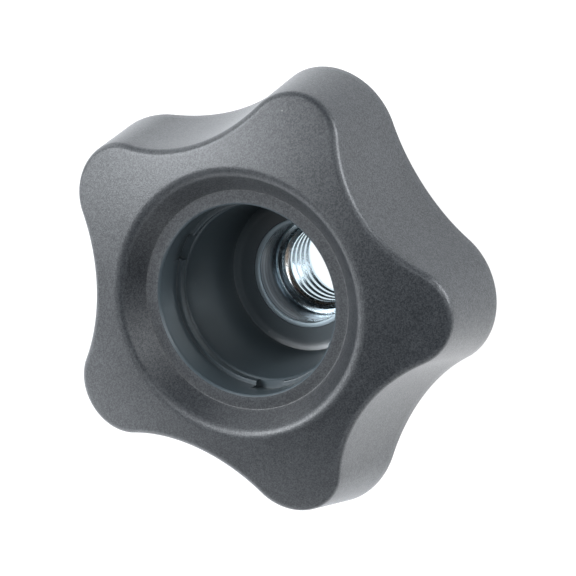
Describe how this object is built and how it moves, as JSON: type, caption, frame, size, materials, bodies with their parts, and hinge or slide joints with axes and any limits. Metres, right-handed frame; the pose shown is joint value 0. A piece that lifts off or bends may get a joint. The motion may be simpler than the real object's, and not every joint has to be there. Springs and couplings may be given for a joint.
{
  "type": "star knob",
  "caption": "Star-shaped moulded hand knob with an open stepped bore and a steel threaded bush through its hub.",
  "frame": {"origin": "centre of the hub's end face, where the knob meets the machine", "axes": "+Z along the thread's axis, out of the open cap side; +Y through the middle of one lobe"},
  "size_m": [0.0772, 0.0746, 0.0457],
  "materials": {
    "plastic": "fine matt texture outside, smooth in the bore",
    "steel": "bright zinc-plated"
  },
  "bodies": {
    "root": {"knob_body": "plastic", "threaded_bush": "steel"}
  },
  "joints": []
}
